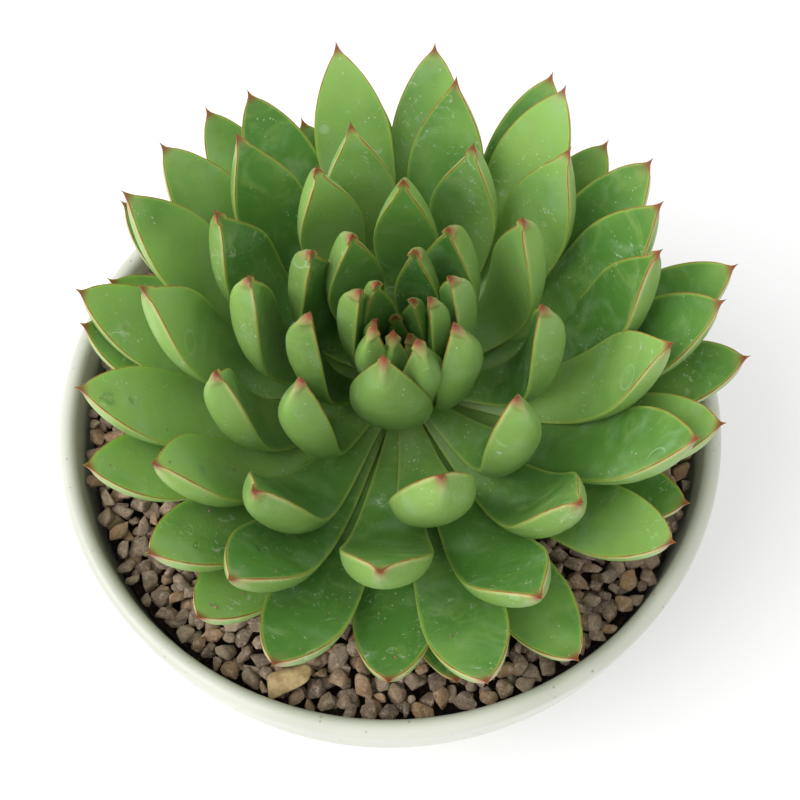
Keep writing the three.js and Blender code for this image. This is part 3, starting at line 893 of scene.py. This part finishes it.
# %% [markdown]
# ## Stem
# The stem is a short cone, hidden except from the side, where a strip of it shows under the lowest
# leaves. Dropped leaves have left scars on it, and it thickens into a root crown in the mix. The
# CAD solid already has this shape, so it stays and gets a finish of fibrous bark, dark in the scars.


# %% Stem and roots
def make_bark():
    bark = Finish("scarred_stem_bark")
    colour = bark.blend(bark.noise(260, 4, 0.6), srgb(112, 98, 62), srgb(150, 140, 96))
    colour = bark.blend(bark.step(bark.cells(180), 0.05, 0.3, 0.6, 0.0), colour, srgb(84, 66, 46))
    return bark.done(colour, 0.85, bark.bump(bark.noise(700, 4, 0.6), 0.3))


bark_finish = make_bark()
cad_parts["stem_and_roots"].data.materials.clear()
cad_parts["stem_and_roots"].data.materials.append(bark_finish)

# %% [markdown]
# ## Stage, light and camera
# The plant stands on a plain pale floor under one broad soft light from the left and front, with
# white all round, which is how plants are lit in a bright room. The camera looks down steeply into
# the rosette.


# %% Floor and light
def make_floor():
    paper = Finish("pale_floor")
    return paper.done(paper.blend(paper.noise(3, 2), (0.86, 0.86, 0.86, 1), (0.9, 0.9, 0.9, 1)), 0.9)


floor_mesh = bpy.data.meshes.new("floor")
FLOOR_HALF = 3.0
floor_mesh.from_pydata(
    [(x * FLOOR_HALF, y * FLOOR_HALF, -0.0002) for x, y in ((-1, -1), (1, -1), (1, 1), (-1, 1))],
    [],
    [(0, 1, 2, 3)],
)
floor = bpy.data.objects.new("floor", floor_mesh)
floor.data.materials.append(make_floor())
bpy.context.scene.collection.objects.link(floor)

world = bpy.data.worlds.new("white_room")
world.use_nodes = True
world.node_tree.nodes["Background"].inputs["Color"].default_value = (1.0, 1.0, 1.0, 1)
world.node_tree.nodes["Background"].inputs["Strength"].default_value = 0.98
bpy.context.scene.world = world


def soft_light(name, place, size, power):
    light = bpy.data.lights.new(name, "AREA")
    light.shape, light.size, light.energy = "DISK", size, power
    lamp = bpy.data.objects.new(name, light)
    lamp.location = place
    lamp.rotation_euler = (Vector((0, 0, 0.06)) - Vector(place)).to_track_quat("-Z", "Y").to_euler()
    bpy.context.scene.collection.objects.link(lamp)


soft_light("window", (-0.62, -0.25, 0.72), 0.8, 6.5)
bpy.context.scene.view_settings.view_transform = "Standard"


# %% Camera
def place_camera():
    """The camera stands in front of the pot and looks down at it, rolled by a degree or two."""
    elevation, roll = math.radians(63.7), 0.030
    view = Matrix(
        (
            (1, 0, 0),
            (0, -math.sin(elevation), -math.cos(elevation)),
            (0, math.cos(elevation), -math.sin(elevation)),
        )
    )
    rolled = Matrix(
        (
            (math.cos(roll), -math.sin(roll), 0),
            (math.sin(roll), math.cos(roll), 0),
            (0, 0, 1),
        )
    )
    right, down, forward = rolled @ view
    turned = Matrix((right, -Vector(down), -Vector(forward))).transposed()
    lens = bpy.data.cameras.new("camera")
    lens.sensor_width, lens.lens = 36.0, 45.0
    lens.clip_start, lens.clip_end = 0.01, 20.0
    camera = bpy.data.objects.new("camera", lens)
    camera.matrix_world = Matrix.Translation((0.0018570, -0.0965442, 0.2546231)) @ turned.to_4x4()
    bpy.context.scene.collection.objects.link(camera)
    bpy.context.scene.camera = camera
    return camera


camera = place_camera()
print("camera at, mm:", [round(c / MM) for c in camera.location])
